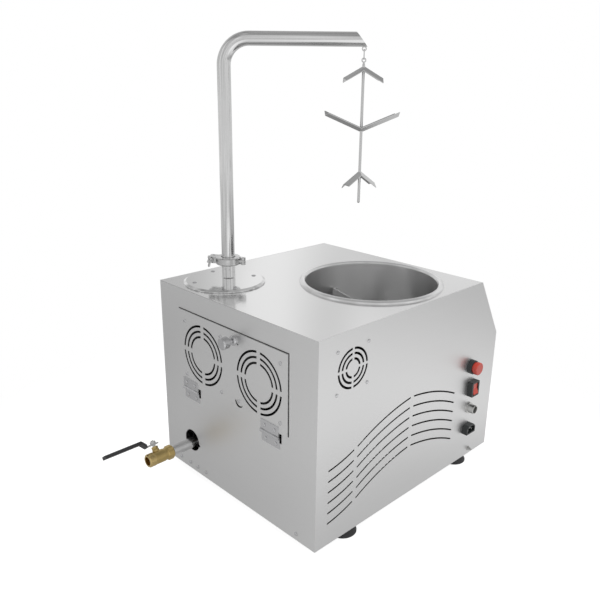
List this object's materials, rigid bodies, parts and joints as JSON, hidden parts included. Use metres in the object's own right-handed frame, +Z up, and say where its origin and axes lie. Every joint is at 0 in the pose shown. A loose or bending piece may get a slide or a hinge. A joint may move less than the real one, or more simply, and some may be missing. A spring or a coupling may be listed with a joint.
{
  "type": "chocolate tempering machine",
  "caption": "Bench-top chocolate tempering machine: stainless housing with heated bowl, lifting pump, swivelling spout, hanging rod of leaves, fan door and drain valve.",
  "frame": {"origin": "middle of the whole footprint, valve lever included, on the surface the feet stand on", "axes": "+Z up, -Y the sloped control front, +Y the back with fan door and drain, -X the side with the switches and vents"},
  "size_m": [0.438, 0.6856, 0.825],
  "materials": {
    "housing_sheet": "fine brushed stainless sheet",
    "bowl_steel": "spun and polished stainless",
    "polished_steel": "polished stainless",
    "plain_steel": "drawn stainless tube and turned parts",
    "brass": "cast and machined brass",
    "ball_chrome": "chromed ball",
    "foot_rubber": "black rubber",
    "seal_silicone": "white silicone",
    "heater_silicone": "red silicone heating band",
    "grip_vinyl": "black vinyl",
    "black_plastic": "black moulded plastic",
    "red_plastic": "red moulded plastic",
    "motor_paint": "dark grey motor paint",
    "bearing_plastic": "white acetal",
    "nickel": "nickel-plated brass",
    "circuit_board": "green circuit board"
  },
  "bodies": {
    "machine": {"side_panel_left": "housing_sheet", "side_panel_right": "housing_sheet", "top_panel": "housing_sheet", "rear_panel": "housing_sheet", "front_panel": "housing_sheet", "base_plate": "housing_sheet", "rubber_feet": "foot_rubber", "housing_screws": "polished_steel", "bowl": "bowl_steel", "bowl_heater": "heater_silicone", "stirrer_bearing": "bearing_plastic", "stirrer_motor": "motor_paint", "motor_stands": "housing_sheet", "pump_cover": "polished_steel", "pump_barrel": "plain_steel", "pump_motor": "motor_paint", "suction_pipe": "plain_steel", "clamp_gasket": "seal_silicone", "clamp_half_plain": "polished_steel", "clamp_half_slotted": "polished_steel", "clamp_pins": "polished_steel", "drain_pipe": "plain_steel", "valve_body": "brass", "valve_end": "brass", "hinge_leaves_body": "polished_steel", "hinge_pins": "polished_steel", "latch_strike": "housing_sheet", "side_fan_frame": "black_plastic", "button_bezel": "black_plastic", "rocker_housing": "black_plastic", "probe_socket": "nickel", "power_inlet": "black_plastic", "inlet_pins": "nickel", "earth_terminal": "plain_steel", "controller": "black_plastic", "control_unit": "circuit_board"},
    "spout": {"spout_tube": "polished_steel"},
    "hanger_link": {"hanger_link": "polished_steel"},
    "hanger": {"hanger_rod": "polished_steel", "hanger_leaves": "polished_steel"},
    "swing_bolt": {"swing_bolt": "polished_steel"},
    "wing_nut": {"wing_nut": "polished_steel"},
    "valve_handle": {"valve_ball": "ball_chrome", "valve_stem": "plain_steel", "valve_lever": "plain_steel", "lever_grip": "grip_vinyl"},
    "fan_door": {"fan_door": "housing_sheet", "hinge_leaves_door": "polished_steel", "door_screws": "polished_steel", "latch_collar": "polished_steel", "door_fan_frames": "black_plastic"},
    "latch_knob": {"latch_knob": "polished_steel"},
    "fan_rotor_left": {"fan_rotor_left": "black_plastic"},
    "fan_rotor_right": {"fan_rotor_right": "black_plastic"},
    "side_fan_rotor": {"side_fan_rotor": "black_plastic"},
    "stirrer": {"stirrer": "plain_steel", "stirrer_shaft": "plain_steel"},
    "pump_screw": {"pump_screw": "plain_steel"},
    "button_cap": {"button_cap": "red_plastic"},
    "rocker": {"rocker": "red_plastic"}
  },
  "joints": [
    {"name": "spout_swivel", "type": "hinge", "parent": "machine", "child": "spout", "pos_m": [0.139, 0.06925, 0.425], "axis": [0, 0, 1], "continuous": true},
    {"name": "link_swing", "type": "hinge", "parent": "spout", "child": "hanger_link", "pos_m": [-0.03287, -0.09683, 0.795], "axis": [-0.7191, -0.6949, 0], "range_deg": [-25, 25]},
    {"name": "hanger_swing", "type": "hinge", "parent": "hanger_link", "child": "hanger", "pos_m": [-0.03287, -0.09683, 0.781], "axis": [-0.6949, 0.7191, 0], "range_deg": [-25, 25]},
    {"name": "swing_bolt_pivot", "type": "hinge", "parent": "machine", "child": "swing_bolt", "pos_m": [0.16815, 0.08093, 0.425], "axis": [0, 0, 1], "range_deg": [-80, 0]},
    {"name": "wing_nut_turn", "type": "hinge", "parent": "swing_bolt", "child": "wing_nut", "pos_m": [0.16042, 0.09379, 0.425], "axis": [-0.515, 0.8572, 0], "continuous": true},
    {"name": "valve_turn", "type": "hinge", "parent": "machine", "child": "valve_handle", "pos_m": [0.136, 0.24625, 0.078], "axis": [0.6157, 0, 0.788], "range_deg": [-90, 0]},
    {"name": "fan_door_hinge", "type": "hinge", "parent": "machine", "child": "fan_door", "pos_m": [0.01, 0.17285, 0.194], "axis": [1, 0, 0], "range_deg": [-95, 0]},
    {"name": "latch_turn", "type": "hinge", "parent": "fan_door", "child": "latch_knob", "pos_m": [-0.003, 0.18625, 0.333], "axis": [0, 1, 0], "continuous": true},
    {"name": "fan_spin_left", "type": "hinge", "parent": "fan_door", "child": "fan_rotor_left", "pos_m": [0.087, 0.17075, 0.276], "axis": [0, 1, 0], "continuous": true},
    {"name": "fan_spin_right", "type": "hinge", "parent": "fan_door", "child": "fan_rotor_right", "pos_m": [-0.066, 0.17075, 0.276], "axis": [0, 1, 0], "continuous": true},
    {"name": "side_fan_spin", "type": "hinge", "parent": "machine", "child": "side_fan_rotor", "pos_m": [-0.1975, 0.09185, 0.323], "axis": [1, 0, 0], "continuous": true},
    {"name": "stirrer_turn", "type": "hinge", "parent": "machine", "child": "stirrer", "pos_m": [-0.054, -0.11725, 0.233], "axis": [0, 0, 1], "continuous": true},
    {"name": "pump_turn", "type": "hinge", "parent": "machine", "child": "pump_screw", "pos_m": [0.139, 0.06925, 0.236], "axis": [0, 0, 1], "continuous": true},
    {"name": "button_press", "type": "slide", "parent": "machine", "child": "button_cap", "axis": [1, 0, 0], "range_m": [0, 0.003], "stiffness_N_per_m": 500, "springref_m": -0.002},
    {"name": "rocker_tilt", "type": "hinge", "parent": "machine", "child": "rocker", "pos_m": [-0.204, -0.26525, 0.1725], "axis": [0, 1, 0], "range_deg": [-18, 0]}
  ]
}
